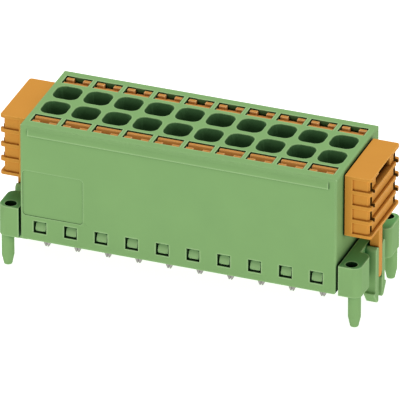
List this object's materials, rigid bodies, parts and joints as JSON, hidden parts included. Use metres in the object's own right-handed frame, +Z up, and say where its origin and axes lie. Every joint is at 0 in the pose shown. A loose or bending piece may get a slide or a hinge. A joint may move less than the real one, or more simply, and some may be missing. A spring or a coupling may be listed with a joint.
{
  "type": "push-in terminal block connector",
  "caption": "Two-row push-in terminal block that plugs into a circuit board, with a release button for each wire entry and a ribbed locking slide at each end.",
  "frame": {"origin": "centre of the board seating plane, on the underside", "axes": "+X along the rows, +Y from front to back, +Z up, away from the board"},
  "size_m": [0.0422, 0.0136, 0.0176],
  "materials": {
    "green_polyamide_housing": "fine moulded satin",
    "green_polyamide_base": "fine moulded satin",
    "orange_polyamide_slide": "fine moulded satin",
    "orange_polyamide_button": "fine moulded satin",
    "tinned_copper": "bright tin plating",
    "spring_steel": "rolled strip"
  },
  "bodies": {
    "block": {"housing": "green_polyamide_housing", "base": "green_polyamide_base", "contacts_front": "tinned_copper", "contacts_back": "tinned_copper", "spring_front_1": "spring_steel", "spring_front_2": "spring_steel", "spring_front_3": "spring_steel", "spring_front_4": "spring_steel", "spring_front_5": "spring_steel", "spring_front_6": "spring_steel", "spring_front_7": "spring_steel", "spring_front_8": "spring_steel", "spring_front_9": "spring_steel", "spring_front_10": "spring_steel", "spring_back_1": "spring_steel", "spring_back_2": "spring_steel", "spring_back_3": "spring_steel", "spring_back_4": "spring_steel", "spring_back_5": "spring_steel", "spring_back_6": "spring_steel", "spring_back_7": "spring_steel", "spring_back_8": "spring_steel", "spring_back_9": "spring_steel", "spring_back_10": "spring_steel"},
    "slide_left": {"lock_left": "orange_polyamide_slide"},
    "slide_right": {"lock_right": "orange_polyamide_slide"},
    "release_front_1": {"button_front_1": "orange_polyamide_button"},
    "release_front_2": {"button_front_2": "orange_polyamide_button"},
    "release_front_3": {"button_front_3": "orange_polyamide_button"},
    "release_front_4": {"button_front_4": "orange_polyamide_button"},
    "release_front_5": {"button_front_5": "orange_polyamide_button"},
    "release_front_6": {"button_front_6": "orange_polyamide_button"},
    "release_front_7": {"button_front_7": "orange_polyamide_button"},
    "release_front_8": {"button_front_8": "orange_polyamide_button"},
    "release_front_9": {"button_front_9": "orange_polyamide_button"},
    "release_front_10": {"button_front_10": "orange_polyamide_button"},
    "release_back_1": {"button_back_1": "orange_polyamide_button"},
    "release_back_2": {"button_back_2": "orange_polyamide_button"},
    "release_back_3": {"button_back_3": "orange_polyamide_button"},
    "release_back_4": {"button_back_4": "orange_polyamide_button"},
    "release_back_5": {"button_back_5": "orange_polyamide_button"},
    "release_back_6": {"button_back_6": "orange_polyamide_button"},
    "release_back_7": {"button_back_7": "orange_polyamide_button"},
    "release_back_8": {"button_back_8": "orange_polyamide_button"},
    "release_back_9": {"button_back_9": "orange_polyamide_button"},
    "release_back_10": {"button_back_10": "orange_polyamide_button"}
  },
  "joints": [
    {"name": "lock_left_push", "type": "slide", "parent": "block", "child": "slide_left", "axis": [0, 0, -1], "range_m": [0, 0.00245]},
    {"name": "lock_right_push", "type": "slide", "parent": "block", "child": "slide_right", "axis": [0, 0, -1], "range_m": [0, 0.00245]},
    {"name": "press_front_1", "type": "slide", "parent": "block", "child": "release_front_1", "axis": [0, 0, -1], "range_m": [0, 0.0012], "stiffness_N_per_m": 2000, "springref_m": -0.0003, "deforming": ["spring_front_1"]},
    {"name": "press_front_2", "type": "slide", "parent": "block", "child": "release_front_2", "axis": [0, 0, -1], "range_m": [0, 0.0012], "stiffness_N_per_m": 2000, "springref_m": -0.0003, "deforming": ["spring_front_2"]},
    {"name": "press_front_3", "type": "slide", "parent": "block", "child": "release_front_3", "axis": [0, 0, -1], "range_m": [0, 0.0012], "stiffness_N_per_m": 2000, "springref_m": -0.0003, "deforming": ["spring_front_3"]},
    {"name": "press_front_4", "type": "slide", "parent": "block", "child": "release_front_4", "axis": [0, 0, -1], "range_m": [0, 0.0012], "stiffness_N_per_m": 2000, "springref_m": -0.0003, "deforming": ["spring_front_4"]},
    {"name": "press_front_5", "type": "slide", "parent": "block", "child": "release_front_5", "axis": [0, 0, -1], "range_m": [0, 0.0012], "stiffness_N_per_m": 2000, "springref_m": -0.0003, "deforming": ["spring_front_5"]},
    {"name": "press_front_6", "type": "slide", "parent": "block", "child": "release_front_6", "axis": [0, 0, -1], "range_m": [0, 0.0012], "stiffness_N_per_m": 2000, "springref_m": -0.0003, "deforming": ["spring_front_6"]},
    {"name": "press_front_7", "type": "slide", "parent": "block", "child": "release_front_7", "axis": [0, 0, -1], "range_m": [0, 0.0012], "stiffness_N_per_m": 2000, "springref_m": -0.0003, "deforming": ["spring_front_7"]},
    {"name": "press_front_8", "type": "slide", "parent": "block", "child": "release_front_8", "axis": [0, 0, -1], "range_m": [0, 0.0012], "stiffness_N_per_m": 2000, "springref_m": -0.0003, "deforming": ["spring_front_8"]},
    {"name": "press_front_9", "type": "slide", "parent": "block", "child": "release_front_9", "axis": [0, 0, -1], "range_m": [0, 0.0012], "stiffness_N_per_m": 2000, "springref_m": -0.0003, "deforming": ["spring_front_9"]},
    {"name": "press_front_10", "type": "slide", "parent": "block", "child": "release_front_10", "axis": [0, 0, -1], "range_m": [0, 0.0012], "stiffness_N_per_m": 2000, "springref_m": -0.0003, "deforming": ["spring_front_10"]},
    {"name": "press_back_1", "type": "slide", "parent": "block", "child": "release_back_1", "axis": [0, 0, -1], "range_m": [0, 0.0012], "stiffness_N_per_m": 2000, "springref_m": -0.0003, "deforming": ["spring_back_1"]},
    {"name": "press_back_2", "type": "slide", "parent": "block", "child": "release_back_2", "axis": [0, 0, -1], "range_m": [0, 0.0012], "stiffness_N_per_m": 2000, "springref_m": -0.0003, "deforming": ["spring_back_2"]},
    {"name": "press_back_3", "type": "slide", "parent": "block", "child": "release_back_3", "axis": [0, 0, -1], "range_m": [0, 0.0012], "stiffness_N_per_m": 2000, "springref_m": -0.0003, "deforming": ["spring_back_3"]},
    {"name": "press_back_4", "type": "slide", "parent": "block", "child": "release_back_4", "axis": [0, 0, -1], "range_m": [0, 0.0012], "stiffness_N_per_m": 2000, "springref_m": -0.0003, "deforming": ["spring_back_4"]},
    {"name": "press_back_5", "type": "slide", "parent": "block", "child": "release_back_5", "axis": [0, 0, -1], "range_m": [0, 0.0012], "stiffness_N_per_m": 2000, "springref_m": -0.0003, "deforming": ["spring_back_5"]},
    {"name": "press_back_6", "type": "slide", "parent": "block", "child": "release_back_6", "axis": [0, 0, -1], "range_m": [0, 0.0012], "stiffness_N_per_m": 2000, "springref_m": -0.0003, "deforming": ["spring_back_6"]},
    {"name": "press_back_7", "type": "slide", "parent": "block", "child": "release_back_7", "axis": [0, 0, -1], "range_m": [0, 0.0012], "stiffness_N_per_m": 2000, "springref_m": -0.0003, "deforming": ["spring_back_7"]},
    {"name": "press_back_8", "type": "slide", "parent": "block", "child": "release_back_8", "axis": [0, 0, -1], "range_m": [0, 0.0012], "stiffness_N_per_m": 2000, "springref_m": -0.0003, "deforming": ["spring_back_8"]},
    {"name": "press_back_9", "type": "slide", "parent": "block", "child": "release_back_9", "axis": [0, 0, -1], "range_m": [0, 0.0012], "stiffness_N_per_m": 2000, "springref_m": -0.0003, "deforming": ["spring_back_9"]},
    {"name": "press_back_10", "type": "slide", "parent": "block", "child": "release_back_10", "axis": [0, 0, -1], "range_m": [0, 0.0012], "stiffness_N_per_m": 2000, "springref_m": -0.0003, "deforming": ["spring_back_10"]}
  ]
}
